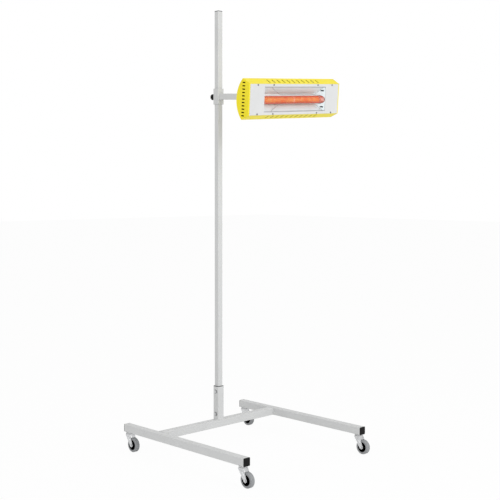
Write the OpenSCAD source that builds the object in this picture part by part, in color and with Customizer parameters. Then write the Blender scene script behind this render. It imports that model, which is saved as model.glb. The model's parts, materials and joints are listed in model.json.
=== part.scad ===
// Infrared curing lamp on a wheeled stand.
// Millimetres. +Z is up and the lamp faces -Y. The origin is on the floor, at the middle of the
// whole object's outline.

/* [Base] */
// Distance between the middles of the two side legs
wheel_track = 834; // [600:2:1100]
// Side length of the square tube of legs, cross tube, socket and sleeve
tube_w = 40; // [36:1:60]
// Wall of the base tubes
tube_wall = 2.5; // [2:0.5:4]
// Outer corner radius of the base tubes
tube_r = 4; // [3:0.5:6]
// How far each leg tube reaches in front of the mast
leg_front = 648; // [500:1:800]
// How far each leg tube reaches behind the mast
leg_back = 252; // [200:1:400]
// Flange thickness of a leg's end plug
plug_flange = 3; // [2:0.5:5]

/* [Castors] */
// Height from the floor to the underside of the legs
castor_h = 100; // [96:1:130]
// Wheel diameter
wheel_d = 75; // [60:1:78]
// Width of the tread
wheel_w = 24; // [18:1:30]
// How far the axle trails behind the swivel axis
trail = 30; // [20:1:40]
// Distance from a leg tube's end to the swivel axis
stem_inset = 22; // [20:1:60]
// Diameter of the threaded stem
stem_d = 12; // [10:1:14]
// Diameter of the axle bolt
axle_d = 8; // [6:1:10]

/* [Mast] */
// Side length of the mast tube
mast_w = 30; // [25:1:32]
// Wall of the mast tube
mast_wall = 2; // [1.5:0.5:3]
// Outer corner radius of the mast and arm tubes
mast_r = 3; // [2.5:0.5:4]
// Length of the mast tube
mast_len = 2155; // [1900:5:2400]
// Height of the socket above the cross tube
socket_h = 180; // [150:5:260]
// Clearance between the mast and what surrounds it
mast_gap = 0.5; // [0.3:0.1:0.8]
// Distance between the two socket bolts
socket_bolt_pitch = 120; // [80:5:140]

/* [Sleeve and arm] */
// Height of the sleeve's middle above the floor
sleeve_z = 1855; // [1400:5:2000]
// Length of the sleeve
sleeve_len = 82; // [60:1:120]
// Diameter of the clamp screw
clamp_screw_d = 10; // [8:1:12]
// Diameter of the clamp knob
clamp_knob_d = 31; // [28:1:45]
// Thickness of the clamp knob
clamp_knob_t = 18; // [14:1:25]
// Distance from the mast's middle to the tilt axis, along the arm
arm_reach = 438; // [380:1:520]
// How far the arm hangs below level, in degrees
arm_droop = 3.5; // [0:0.5:5]
// Turn of the lamp about the arm, in degrees
head_roll = 4; // [-10:0.5:10]
// Forward tilt of the lamp on its yoke, in degrees
head_tilt = 4; // [-10:0.5:10]

/* [Yoke] */
// Distance between the inner faces of the yoke's cheeks
yoke_gap = 46; // [44:1:60]
// Thickness of the yoke's strip
yoke_t = 4; // [3:0.5:6]
// Width of the yoke's strip
yoke_w = 30; // [26:1:30]
// Distance from the yoke's base to the tilt axis
yoke_depth = 30; // [28:1:40]
// Diameter of the swivel and tilt bolts
pivot_d = 10; // [8:1:12]
// Diameter of the tilt knob
tilt_knob_d = 40; // [32:1:50]
// Thickness of the tilt knob
tilt_knob_t = 22; // [16:1:30]

/* [Lamp casing] */
// Length of the casing along the lamp tube
casing_len = 632; // [600:2:800]
// Height of the casing over its two ridges
casing_h = 192; // [180:1:230]
// Height of the front plate
plate_h = 145; // [140:1:155]
// Distance from the front plate's face to the ridges
bevel_depth = 47; // [44:1:60]
// Bulge of the back behind the ridges
back_sag = 38; // [34:1:50]
// Thickness of the casing's sheet
sheet_t = 1.5; // [1:0.5:2]
// Width of the yellow strip beside each end of the front plate
end_strip = 7; // [4:1:12]
// Distance from each end of the casing to the window in the front plate
window_inset = 101; // [90:1:120]
// Height of the window in the front plate
window_h = 120; // [112:1:122]
// Distance from the casing's back to the tilt axis
pivot_back = 35; // [32:1:45]
// Height of the tilt axis above the casing's middle
pivot_rise = 5; // [0:1:10]

/* [Slots] */
// Number of slots in a row
slot_count = 11; // [5:1:11]
// Pitch of the slots in the bevels
bevel_slot_pitch = 34; // [30:1:36]
// Length of a slot in the bevels
bevel_slot_len = 30; // [20:1:34]
// Width of a slot
slot_w = 5.5; // [3:0.5:7]
// Pitch of the slots in the end panels
end_slot_pitch = 15.4; // [13:0.2:16]
// Length of a slot in the end panels
end_slot_len = 19; // [12:1:22]

/* [Heating tube] */
// Outer diameter of the quartz tube
quartz_d = 38; // [30:1:38]
// Wall of the quartz tube
quartz_wall = 1.5; // [1:0.5:2]
// Distance from each end of the casing to the quartz tube's end
quartz_inset = 66; // [60:1:80]
// Distance from the front plate's face to the tube's middle
quartz_depth = 23; // [22:0.5:24]
// How far the tube lies below the casing's middle
quartz_drop = 4; // [0:1:6]
// How far the left cap's ceramic reaches into the quartz tube
left_plug = 12; // [8:1:20]
// How far the right cap's ceramic reaches into the quartz tube
right_plug = 64; // [20:1:70]
// Number of turns of the heating coil
coil_turns = 24; // [12:1:24]
// Diameter of the coil over the middle of its wire
coil_d = 27; // [20:1:28]
// Thickness of the coil's wire
coil_wire = 4; // [2:0.5:4]
// Straight length of wire between the coil and the ceramic at each end
coil_lead = 5; // [4:0.5:8]

/* [Hidden] */
$fn = 48;
// Overrun of every cut
over = 1;
// Clearance of a pin that turns in a bore, on the radius
run_gap = 0.06;
// Clearance of pieces that sit tight in each other, on the radius
snug_gap = 0.1;
// Clearance of a fixed bolt in its hole, on the radius
bolt_gap = 0.25;
// Space between two pieces that turn past each other
turn_gap = 0.4;
// Space between two bent edges of the sheet
sheet_gap = 0.5;
// Colours as seen
c_paint = [0.80, 0.80, 0.79];
c_black = [0.07, 0.07, 0.08];
c_zinc = [0.72, 0.73, 0.75];
c_yellow = [0.96, 0.88, 0.25];
c_plate = [0.89, 0.89, 0.89];
c_tread = [0.55, 0.56, 0.58];
c_mirror = [0.82, 0.84, 0.85];
c_ceramic = [0.93, 0.91, 0.86];
c_quartz = [0.95, 0.62, 0.45, 0.45];
c_glow = [1.0, 0.55, 0.25];
c_copper = [0.72, 0.42, 0.25];

// Places that follow from the sizes above
wheel_r = wheel_d / 2;
front_reach = leg_front - stem_inset + trail + wheel_r;
back_reach = leg_back + plug_flange;
mast_y = (front_reach - back_reach) / 2;
leg_x = wheel_track / 2;
leg_len = leg_front + leg_back;
leg_mid_y = mast_y + (leg_back - leg_front) / 2;
tube_top = castor_h + tube_w;
stem_front_y = mast_y - leg_front + stem_inset;
stem_back_y = mast_y + leg_back - stem_inset;
CASTORS = [
    ["front_left", -1, stem_front_y],
    ["front_right", 1, stem_front_y],
    ["back_left", -1, stem_back_y],
    ["back_right", 1, stem_back_y]
];

// Hexagon bolts and nuts: sizes as shares of the thread diameter
hex_af_share = 1.65;
hex_head_share = 0.65;
hex_nut_share = 0.8;
washer_share = 2;
washer_t = 1.5;
// How far a bolt's end stands out of its nut
bolt_tip = 3;

// Round knobs: edge, groove radius and groove depth as shares of the knob's size
knob_edge_share = 0.14;
knob_groove_share = 0.13;
knob_bite_share = 0.45;

// Castor pieces
race_r = 21.5;
race_t = 4.5;
race_split = 2;
ball_r = 2.9;
ball_ring_r = 15.5;
ball_count = 12;
ball_gap = 0.2;
kingpin_d = 10;
kingpin_head_r = 8;
kingpin_head_t = 3;
crown_t = 4.5;
fork_t = 2.5;
fork_side_gap = 1.5;
fork_boss_r = 10;
fork_top_half = 17;
hub_r = 26;
hub_boss_r = 9;
hub_web = 6;
hub_rim = 4;
hub_inset = 1;
hub_boss_gap = 0.5;
tread_round = 5;
race_low = castor_h - race_t;
ball_z = race_low - race_split / 2;
crown_top = race_low - race_split;
crown_low = crown_top - crown_t;
kingpin_low = crown_low - turn_gap - kingpin_head_t;
fork_in = wheel_w / 2 + fork_side_gap;
fork_out = fork_in + fork_t;
stem_nut_t = stem_d * hex_nut_share;

// Socket and mast
sleeve_wall = (tube_w - mast_w) / 2 - mast_gap;
liner_flange = 2;
socket_bolt_d = 8;
socket_bolt_zs = [for (s = [-1, 1]) tube_top + (socket_h + s * socket_bolt_pitch) / 2];
mast_top = tube_top + mast_len;
plug_depth = 22;

// Sleeve, arm and clamp
weld_nut_t = clamp_screw_d * hex_nut_share;
knob_stand = 3;
knob_bore = 12;
knob_z0 = tube_w / 2 + weld_nut_t + knob_stand;
clamp_grooves = 8;
screw_tip_share = 0.7;
screw_tip_gap = 0.3;
arm_plate_t = 6;
swivel_gap = 0.3;
arm_end = arm_reach - yoke_depth - yoke_t - swivel_gap;
tilt_bore = 16;
tilt_bore_gap = 1;
tilt_grooves = 7;

// Casing
casing_depth = bevel_depth + back_sag;
face_y = -(pivot_back + casing_depth);
back_r = (pow(casing_h / 2, 2) + pow(back_sag, 2)) / (2 * back_sag);
back_facets = 180;
bevel_angle = atan((casing_h - plate_h) / 2 / bevel_depth);
plate_len = casing_len - 2 * end_strip;
plate_corner_r = 2;
window_w = casing_len - 2 * window_inset;
lip_w = 10;
end_lip_w = 20;
plate_screw_d = 4;
plate_screw_len = 8;
plate_screw_x_shares = [-0.42, -0.25, 0.25, 0.42];
plate_screw_z = plate_h / 2 - lip_w / 2 + sheet_gap;
end_slot_depth = bevel_depth - (end_slot_len - sheet_t) / 2;

// Reflector
mirror_t = 1;
mirror_depth = 46;
mirror_floor_h = 46;
mirror_lap = 2;
mirror_end_gap = 3;
mirror_end_lean = 45;
mirror_cut_h = 7;
mirror_cut_len = 12;
mirror_cut_depth = 14;
mirror_hole_gap = 1.5;
mirror_mouth_h = window_h + 2 * mirror_lap;
mirror_len = window_w + 2 * mirror_end_gap;
mirror_cut_z = window_h / 3;
trough_angle = atan((mirror_mouth_h - mirror_floor_h) / 2 / (mirror_depth - sheet_t));
mirror_end_angle = atan(mirror_end_lean / (mirror_depth - sheet_t));

// Heating tube
quartz_len = casing_len - 2 * quartz_inset;
coil_len = quartz_len - left_plug - right_plug - 2 * coil_lead;
coil_shift = (left_plug - right_plug) / 2;
cap_len = 28;
cap_wall = 2;
cap_r = quartz_d / 2 + cap_wall;
cap_lap = 8;
holder_t = 2;
holder_h = 96;
holder_depth = 46;
holder_foot = 10;
holder_x = quartz_len / 2 + cap_len / 2;

// Wiring
block_w = 52;
block_h = 18;
block_t = 16;
block_x = 150;
block_poles = 3;
block_hole_d = 6;
block_depth = casing_depth - sheet_t - sag(back_r - sheet_t, block_h / 2) - block_t;
wire_r = 1.5;
wire_sides = 8;
wire_bend = 12;

// Inlet and switch on the right end panel
fit_depth = 63;
fitting_flange = 2.5;
fitting_rim = 3;
fitting_wall = 2;
inlet_z = -18;
inlet_w = 22;
inlet_h = 28;
inlet_body = 18;
pin_w = 2;
pin_h = 4;
pin_len = 12;
pin_pitch = 7;
pin_step = 3;
switch_z = 20;
switch_w = 20;
switch_h = 30;
switch_body = 16;
rocker_pivot = 4;
rocker_pin_d = 3;
rocker_rise = 3;
rocker_keel = 5;
rocker_keel_half = 4;
rocker_end_gap = 1;
rocker_tilt = 7;

// Bracket on the casing's back
bracket_half = 22.3;
bracket_t = 4;
bracket_h = 34;
bracket_root = 10;
bracket_base_w = 90;
bracket_base_t = 3;
bracket_bolt_d = 6;
bracket_bolt_x = 34;

CASTOR_PARTS = ["stem", "fork", "axle", "hub", "tyre"];

// Shapes that repeat

function inner_r(r, wall) = max(r - wall, wall / 5);
function sag(radius, half) = radius - sqrt(pow(radius, 2) - pow(half, 2));

// Rounded rectangle about the origin
module rounded(w, h, r) {
    square([w - 2 * r, h], center = true);
    square([w, h - 2 * r], center = true);
    for (x = [-1, 1], y = [-1, 1])
        translate([x * (w / 2 - r), y * (h / 2 - r)]) circle(r);
}

// Slot with round ends, its length along Y
module stadium(w, len) {
    square([w, len - w], center = true);
    for (y = [-1, 1]) translate([0, y * (len - w) / 2]) circle(d = w);
}

// Square tube that stands on the origin
module square_tube(len, w, wall, r) {
    linear_extrude(len) difference() {
        rounded(w, w, r);
        rounded(w - 2 * wall, w - 2 * wall, inner_r(r, wall));
    }
}

// Hexagon prism that stands on the origin, af across its flats
module hexagon(af, h) {
    cylinder(d = af / cos(30), h = h, $fn = 6);
}

// Washer and nut that stand on the origin
module washer_and_nut(d) {
    difference() {
        union() {
            cylinder(d = d * washer_share, h = washer_t);
            translate([0, 0, washer_t]) hexagon(d * hex_af_share, d * hex_nut_share);
        }
        translate([0, 0, -over])
            cylinder(r = d / 2 + snug_gap, h = washer_t + d * hex_nut_share + 2 * over);
    }
}

// Bolt whose head stands on the origin, its shank pointing down
module hex_bolt(d, shank) {
    hexagon(d * hex_af_share, d * hex_head_share);
    translate([0, 0, -shank]) cylinder(d = d, h = shank + over);
}

// Round knob along Z with grooves for the fingers
module grip_knob(d, t, bore_r, bore_len, grooves) {
    groove_r = d * knob_groove_share;
    edge = t * knob_edge_share;
    difference() {
        union() {
            cylinder(d = d, h = t - edge);
            translate([0, 0, t - edge]) cylinder(d1 = d, d2 = d - 2 * edge, h = edge);
        }
        for (i = [1:grooves])
            rotate(i * 360 / grooves) translate([d / 2 + groove_r * knob_bite_share, 0, -over])
                cylinder(r = groove_r, h = t + 2 * over);
        translate([0, 0, -over]) cylinder(r = bore_r, h = bore_len + over);
    }
}

// Frames in which the upper pieces are drawn

module in_arm() {
    translate([0, mast_y, sleeve_z]) rotate([arm_droop, 0, 0]) children();
}

module in_yoke() {
    in_arm() translate([0, -arm_reach, 0]) rotate([0, -head_roll, 0]) children();
}

module in_head() {
    in_yoke() rotate([head_tilt, 0, 0]) children();
}

// Y is the depth behind the front plate's face, Z is measured from the casing's middle
module in_casing() {
    in_head() translate([0, face_y, -pivot_rise]) children();
}

// Extrudes a depth-by-height outline along the casing, from x0 to x1
module along_x(x0, x1) {
    translate([x0, 0, 0]) rotate([90, 0, 90]) linear_extrude(x1 - x0) children();
}

module at_castor(c) {
    translate([c[1] * leg_x, c[2], 0]) children();
}

// Base

module leg(side) {
    color(c_paint) difference() {
        translate([side * leg_x, mast_y + leg_back, castor_h + tube_w / 2])
            rotate([90, 0, 0]) square_tube(leg_len, tube_w, tube_wall, tube_r);
        for (y = [stem_front_y, stem_back_y])
            translate([side * leg_x, y, castor_h - over])
                cylinder(r = stem_d / 2 + bolt_gap, h = tube_wall + 2 * over);
    }
}

module cross_tube() {
    len = wheel_track - tube_w;
    color(c_paint) translate([-len / 2, mast_y, castor_h + tube_w / 2])
        rotate([0, 90, 0]) square_tube(len, tube_w, tube_wall, tube_r);
}

module leg_end_plugs() {
    in_w = tube_w - 2 * tube_wall - 2 * snug_gap;
    in_len = stem_inset - stem_d * hex_af_share / cos(30) / 2 - over;
    color(c_black) for (side = [-1, 1], end = [-1, 1])
        translate([side * leg_x, leg_mid_y + end * leg_len / 2, castor_h + tube_w / 2])
            rotate([-90 * end, 0, 0]) {
                linear_extrude(plug_flange) rounded(tube_w, tube_w, tube_r);
                translate([0, 0, -in_len]) linear_extrude(in_len + over)
                    rounded(in_w, in_w, inner_r(tube_r, tube_wall));
            }
}

module castor_stem_nuts() {
    color(c_zinc) for (c = CASTORS) at_castor(c)
        translate([0, 0, castor_h + tube_wall]) difference() {
            hexagon(stem_d * hex_af_share, stem_nut_t);
            translate([0, 0, -over]) cylinder(r = stem_d / 2 + snug_gap, h = stem_nut_t + 2 * over);
        }
}

// Castors

module ball_groove() {
    translate([0, 0, ball_z]) rotate_extrude()
        translate([ball_ring_r, 0]) circle(ball_r + ball_gap);
}

module castor_balls() {
    color(c_zinc) for (c = CASTORS, i = [1:ball_count]) at_castor(c)
        rotate(i * 360 / ball_count) translate([ball_ring_r, 0, ball_z + ball_gap]) sphere(ball_r);
}

module castor_stem() {
    color(c_zinc) {
        difference() {
            translate([0, 0, race_low]) cylinder(r = race_r, h = race_t);
            ball_groove();
        }
        cylinder_to(kingpin_low, race_low + over, kingpin_d / 2);
        cylinder_to(kingpin_low, kingpin_low + kingpin_head_t, kingpin_head_r);
        cylinder_to(castor_h - over, castor_h + tube_wall + stem_nut_t + bolt_tip, stem_d / 2);
    }
}

// Upright cylinder between two heights
module cylinder_to(z0, z1, r) {
    translate([0, 0, z0]) cylinder(r = r, h = z1 - z0);
}

module fork_side() {
    polygon([
        [fork_top_half, crown_low + fork_t],
        [fork_top_half, crown_low - fork_t],
        [-trail + fork_boss_r, wheel_r],
        [-trail - fork_boss_r, wheel_r],
        [-fork_top_half, crown_low + fork_t]
    ]);
    translate([-trail, wheel_r]) circle(fork_boss_r);
}

module castor_fork() {
    color(c_zinc) difference() {
        union() {
            cylinder_to(crown_low, crown_top, race_r);
            translate([-fork_out, -fork_top_half, crown_low])
                cube([2 * fork_out, 2 * fork_top_half, fork_t]);
            along_x(-fork_out, -fork_in) fork_side();
            along_x(fork_in, fork_out) fork_side();
        }
        ball_groove();
        cylinder_to(crown_low - over, crown_top + over, kingpin_d / 2 + run_gap);
        translate([-fork_out - over, -trail, wheel_r]) rotate([0, 90, 0])
            cylinder(r = axle_d / 2 + bolt_gap, h = 2 * (fork_out + over));
    }
}

module castor_axle(side) {
    nut_t = axle_d * hex_nut_share;
    color(c_zinc) translate([0, -trail, wheel_r]) rotate([0, side * 90, 0]) {
        translate([0, 0, fork_out]) hex_bolt(axle_d, 2 * fork_out + nut_t + bolt_tip);
        translate([0, 0, -fork_out - nut_t]) difference() {
            hexagon(axle_d * hex_af_share, nut_t);
            translate([0, 0, -over]) cylinder(r = axle_d / 2 + snug_gap, h = nut_t + 2 * over);
        }
    }
}

// Turns a radius-by-width outline about the axle
module about_axle() {
    translate([0, -trail, wheel_r]) rotate([0, 90, 0]) rotate_extrude() children();
}

module castor_hub() {
    bore_r = axle_d / 2 + run_gap;
    boss_w = 2 * (fork_in - hub_boss_gap);
    rim_w = wheel_w - 2 * hub_inset;
    color(c_black) about_axle() {
        translate([bore_r, -boss_w / 2]) square([hub_boss_r - bore_r, boss_w]);
        translate([bore_r, -hub_web / 2]) square([hub_r - bore_r, hub_web]);
        translate([hub_r - hub_rim, -rim_w / 2]) square([hub_rim, rim_w]);
    }
}

module castor_tyre() {
    color(c_tread) about_axle() {
        translate([hub_r, -wheel_w / 2]) square([wheel_r - tread_round - hub_r, wheel_w]);
        translate([hub_r, tread_round - wheel_w / 2])
            square([wheel_r - hub_r, wheel_w - 2 * tread_round]);
        for (s = [-1, 1])
            translate([wheel_r - tread_round, s * (wheel_w / 2 - tread_round)])
                circle(tread_round);
    }
}

// Mast

module socket_bolt_holes(half) {
    for (z = socket_bolt_zs)
        translate([-half - over, mast_y, z]) rotate([0, 90, 0])
            cylinder(r = socket_bolt_d / 2 + bolt_gap, h = 2 * (half + over));
}

module mast_socket() {
    color(c_paint) difference() {
        translate([0, mast_y, tube_top])
            square_tube(socket_h - liner_flange, tube_w, tube_wall, tube_r);
        socket_bolt_holes(tube_w / 2);
    }
}

// Plastic liner between the socket and the mast, with a flange on the socket's rim
module socket_liner() {
    liner_w = tube_w - 2 * (tube_wall + snug_gap);
    color(c_black) difference() {
        translate([0, mast_y, tube_top]) {
            linear_extrude(socket_h) rounded(liner_w, liner_w, inner_r(tube_r, tube_wall));
            translate([0, 0, socket_h - liner_flange])
                linear_extrude(liner_flange) rounded(tube_w, tube_w, tube_r);
        }
        translate([-mast_w / 2 - mast_gap, mast_y - mast_w / 2 - mast_gap, tube_top - over])
            cube([mast_w + 2 * mast_gap, mast_w + 2 * mast_gap, socket_h + 2 * over]);
        socket_bolt_holes(tube_w / 2);
    }
}

module socket_bolts() {
    shank = tube_w + 2 * washer_t + socket_bolt_d * hex_nut_share + bolt_tip;
    color(c_zinc) for (z = socket_bolt_zs)
        translate([-tube_w / 2, mast_y, z]) rotate([0, -90, 0]) {
            translate([0, 0, washer_t]) hex_bolt(socket_bolt_d, shank);
            cylinder(d = socket_bolt_d * washer_share, h = washer_t);
        }
}

module socket_nuts() {
    color(c_zinc) for (z = socket_bolt_zs)
        translate([tube_w / 2, mast_y, z]) rotate([0, 90, 0]) washer_and_nut(socket_bolt_d);
}

module mast() {
    color(c_paint) difference() {
        translate([0, mast_y, tube_top]) square_tube(mast_len, mast_w, mast_wall, mast_r);
        socket_bolt_holes(mast_w / 2);
    }
}

module mast_plug() {
    in_w = mast_w - 2 * mast_wall - 2 * snug_gap;
    color(c_paint) translate([0, mast_y, mast_top]) {
        linear_extrude(plug_flange) rounded(mast_w, mast_w, mast_r);
        translate([0, 0, -plug_depth]) linear_extrude(plug_depth + over)
            rounded(in_w, in_w, inner_r(mast_r, mast_wall));
    }
}

// Sleeve, clamp and arm

// Along the clamp screw: Z runs backwards from the mast's middle
module on_clamp() {
    translate([0, mast_y, sleeve_z]) rotate([-90, 0, 0]) children();
}

module clamp_sleeve() {
    color(c_paint) difference() {
        translate([0, mast_y, sleeve_z - sleeve_len / 2])
            square_tube(sleeve_len, tube_w, sleeve_wall, tube_r);
        on_clamp() cylinder(r = clamp_screw_d / 2 + turn_gap, h = tube_w / 2 + over);
    }
}

module sleeve_nut() {
    color(c_zinc) on_clamp() translate([0, 0, tube_w / 2]) difference() {
        hexagon(clamp_screw_d * hex_af_share, weld_nut_t);
        translate([0, 0, -over])
            cylinder(r = clamp_screw_d / 2 + run_gap, h = weld_nut_t + 2 * over);
    }
}

module clamp_screw() {
    tip_end = mast_w / 2 + screw_tip_gap;
    color(c_zinc) on_clamp() {
        cylinder_to(tip_end, tube_w / 2, clamp_screw_d * screw_tip_share / 2);
        cylinder_to(tube_w / 2 - mast_gap, knob_z0 + knob_bore, clamp_screw_d / 2);
    }
}

module clamp_knob() {
    color(c_black) on_clamp() translate([0, 0, knob_z0])
        grip_knob(clamp_knob_d, clamp_knob_t, clamp_screw_d / 2 + run_gap,
            knob_bore + screw_tip_gap, clamp_grooves);
}

module arm_tube() {
    color(c_paint) difference() {
        in_arm() translate([0, -mast_w / 2, 0]) rotate([90, 0, 0])
            square_tube(arm_end - mast_w / 2, mast_w, mast_wall, mast_r);
        translate([-tube_w, mast_y - tube_w / 2, sleeve_z - sleeve_len])
            cube([2 * tube_w, 2 * tube_w, 2 * sleeve_len]);
    }
}

module arm_end_plate() {
    in_w = mast_w - 2 * mast_wall;
    color(c_zinc) in_arm() translate([0, -arm_end + arm_plate_t, 0]) rotate([90, 0, 0])
        linear_extrude(arm_plate_t) difference() {
            rounded(in_w, in_w, inner_r(mast_r, mast_wall));
            circle(pivot_d / 2 + bolt_gap);
        }
}

module swivel_bolt() {
    nut_t = pivot_d * hex_nut_share;
    stack = arm_plate_t + 2 * swivel_gap + yoke_t;
    color(c_zinc) in_arm() translate([0, -arm_end - yoke_t - 2 * swivel_gap, 0])
        rotate([90, 0, 0]) {
            hex_bolt(pivot_d, stack + nut_t + bolt_tip);
            translate([0, 0, -stack - nut_t]) difference() {
                hexagon(pivot_d * hex_af_share, nut_t);
                translate([0, 0, -over])
                    cylinder(r = pivot_d / 2 + snug_gap, h = nut_t + 2 * over);
            }
        }
}

// Yoke and tilt clamp, drawn about the tilt axis

module across_x(half) {
    translate([-half, 0, 0]) rotate([0, 90, 0]) children();
}

module yoke_cheek() {
    translate([0, -yoke_w / 2]) square([yoke_depth + yoke_t, yoke_w]);
    circle(d = yoke_w);
}

module yoke() {
    half = yoke_gap / 2;
    color(c_zinc) in_yoke() difference() {
        union() {
            along_x(-half - yoke_t, -half) yoke_cheek();
            along_x(half, half + yoke_t) yoke_cheek();
            translate([-half - yoke_t, yoke_depth, -yoke_w / 2])
                cube([2 * (half + yoke_t), yoke_t, yoke_w]);
        }
        across_x(half + yoke_t + over)
            cylinder(r = pivot_d / 2 + bolt_gap, h = 2 * (half + yoke_t + over));
        translate([0, yoke_depth + yoke_t + over, 0]) rotate([90, 0, 0])
            cylinder(r = pivot_d / 2 + run_gap, h = yoke_t + 2 * over);
    }
}

module tilt_bolt() {
    half = yoke_gap / 2 + yoke_t;
    color(c_zinc) in_yoke() translate([-half, 0, 0]) rotate([0, -90, 0])
        hex_bolt(pivot_d, 2 * half + turn_gap + tilt_bore - tilt_bore_gap);
}

module tilt_knob() {
    color(c_black) in_yoke() translate([yoke_gap / 2 + yoke_t + turn_gap, 0, 0])
        rotate([0, 90, 0])
            grip_knob(tilt_knob_d, tilt_knob_t, pivot_d / 2 + run_gap, tilt_bore,
                tilt_grooves);
}

// Lamp casing

// Depth-by-height section of the casing, t inside its outer skin and open from depth d0 on
module casing_section(t, d0) {
    skin = t / cos(bevel_angle);
    far = casing_depth + over;
    intersection() {
        translate([casing_depth - back_r, 0]) circle(back_r - t, $fn = back_facets);
        polygon([
            [d0, plate_h / 2 + d0 * tan(bevel_angle) - skin],
            [far, plate_h / 2 + far * tan(bevel_angle) - skin],
            [far, -plate_h / 2 - far * tan(bevel_angle) + skin],
            [d0, -plate_h / 2 - d0 * tan(bevel_angle) + skin]
        ]);
    }
}

module bevel_slots() {
    mid = bevel_depth / 2;
    for (s = [-1, 1], i = [0:slot_count - 1])
        translate([
            (i - (slot_count - 1) / 2) * bevel_slot_pitch,
            mid,
            s * (plate_h / 2 + mid * tan(bevel_angle))
        ])
            rotate([s * bevel_angle, 0, 0]) translate([0, 0, -2 * sheet_t])
                linear_extrude(4 * sheet_t) stadium(slot_w, bevel_slot_len);
}

module plate_screw_places() {
    for (s = [-1, 1], x = plate_screw_x_shares)
        translate([x * plate_len, 0, s * plate_screw_z]) rotate([90, 0, 0]) children();
}

module casing_shell() {
    half = casing_len / 2 - sheet_t;
    color(c_yellow) in_casing() difference() {
        along_x(-half, half) difference() {
            casing_section(0, sheet_t);
            casing_section(sheet_t, 2 * sheet_t);
            translate([0, -plate_h / 2 + lip_w]) square([3 * sheet_t, plate_h - 2 * lip_w]);
        }
        bevel_slots();
        plate_screw_places() translate([0, 0, -3 * sheet_t])
            cylinder(r = plate_screw_d / 2 + snug_gap, h = 3 * sheet_t);
        for (x = [-1, 1]) translate([x * bracket_bolt_x, casing_depth + over, 0])
            rotate([90, 0, 0]) cylinder(r = bracket_bolt_d / 2 + bolt_gap, h = 4 * sheet_t);
    }
}

module end_panel(side, fittings) {
    half = casing_len / 2;
    lip_h = plate_h - 2 * lip_w - 2 * sheet_gap;
    color(c_yellow) in_casing() mirror([side < 0 ? 1 : 0, 0, 0]) {
        difference() {
            along_x(half - sheet_t, half) casing_section(0, sheet_t);
            for (i = [0:slot_count - 1])
                translate([half - 2 * sheet_t, end_slot_depth,
                    (i - (slot_count - 1) / 2) * end_slot_pitch])
                    rotate([0, 90, 0]) linear_extrude(3 * sheet_t)
                        stadium(slot_w, end_slot_len);
            if (fittings) {
                panel_cut(inlet_w, inlet_h, inlet_z);
                panel_cut(switch_w, switch_h, switch_z);
            }
        }
        translate([half - end_lip_w, sheet_t, -lip_h / 2])
            cube([end_lip_w - sheet_t / 2, sheet_t, lip_h]);
    }
}

// Rectangular hole in the right end panel
module panel_cut(w, h, z) {
    translate([casing_len / 2 - 2 * sheet_t, fit_depth - w / 2 - bolt_gap, z - h / 2 - bolt_gap])
        cube([3 * sheet_t, w + 2 * bolt_gap, h + 2 * bolt_gap]);
}

module front_plate() {
    color(c_plate) in_casing() difference() {
        translate([0, sheet_t, 0]) rotate([90, 0, 0]) linear_extrude(sheet_t) difference() {
            rounded(plate_len, plate_h, plate_corner_r);
            rounded(window_w, window_h, plate_corner_r);
        }
        plate_screw_places() translate([0, 0, -2 * sheet_t])
            cylinder(r = plate_screw_d / 2 + bolt_gap, h = 4 * sheet_t);
    }
}

module plate_screws() {
    color(c_zinc) in_casing() plate_screw_places() {
        translate([0, 0, -plate_screw_len]) cylinder(d = plate_screw_d, h = plate_screw_len);
        cylinder(d = plate_screw_d * washer_share, h = plate_screw_d / 4);
        translate([0, 0, plate_screw_d / 4]) cylinder(d1 = plate_screw_d * washer_share,
            d2 = plate_screw_d, h = plate_screw_d / 4);
    }
}

// Reflector

// Depth-by-height trapezoid of the trough, t inside its outer skin and open from depth d0 on
module trough_section(t, d0) {
    skin = t / cos(trough_angle);
    mouth = mirror_mouth_h / 2 - skin + (sheet_t - d0) * tan(trough_angle);
    floor_h = mirror_floor_h / 2 - skin + t * tan(trough_angle);
    polygon([
        [d0, mouth],
        [mirror_depth - t, floor_h],
        [mirror_depth - t, -floor_h],
        [d0, -mouth]
    ]);
}

module reflector() {
    color(c_mirror) in_casing() difference() {
        along_x(-mirror_len / 2, mirror_len / 2) trough_section(0, sheet_t);
        along_x(-mirror_len / 2 - over, mirror_len / 2 + over) trough_section(mirror_t, 0);
    }
}

module reflector_ends() {
    color(c_mirror) in_casing() for (side = [0, 1]) mirror([side, 0, 0]) difference() {
        intersection() {
            along_x(0, mirror_len / 2) trough_section(mirror_t, sheet_t);
            translate([mirror_len / 2 - mirror_t, sheet_t, -mirror_mouth_h])
                rotate([0, 0, mirror_end_angle]) translate([-mirror_t, -mirror_depth, 0])
                    cube([mirror_t, 3 * mirror_depth, 2 * mirror_mouth_h]);
        }
        at_tube() cylinder(r = quartz_d / 2 + mirror_hole_gap, h = casing_len);
        for (s = [-1, 1]) translate([0, mirror_cut_depth, s * mirror_cut_z])
            cube([casing_len, mirror_cut_len, mirror_cut_h], center = true);
    }
}

// Heating tube

// Z runs along the heating tube from its middle towards the right end
module at_tube() {
    translate([0, quartz_depth, -quartz_drop]) rotate([0, 90, 0]) children();
}

module quartz_tube() {
    color(c_quartz) in_casing() at_tube() translate([0, 0, -quartz_len / 2])
        linear_extrude(quartz_len) difference() {
            circle(d = quartz_d);
            circle(d = quartz_d - 2 * quartz_wall);
        }
}

function unit(v) = v / norm(v);

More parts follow.
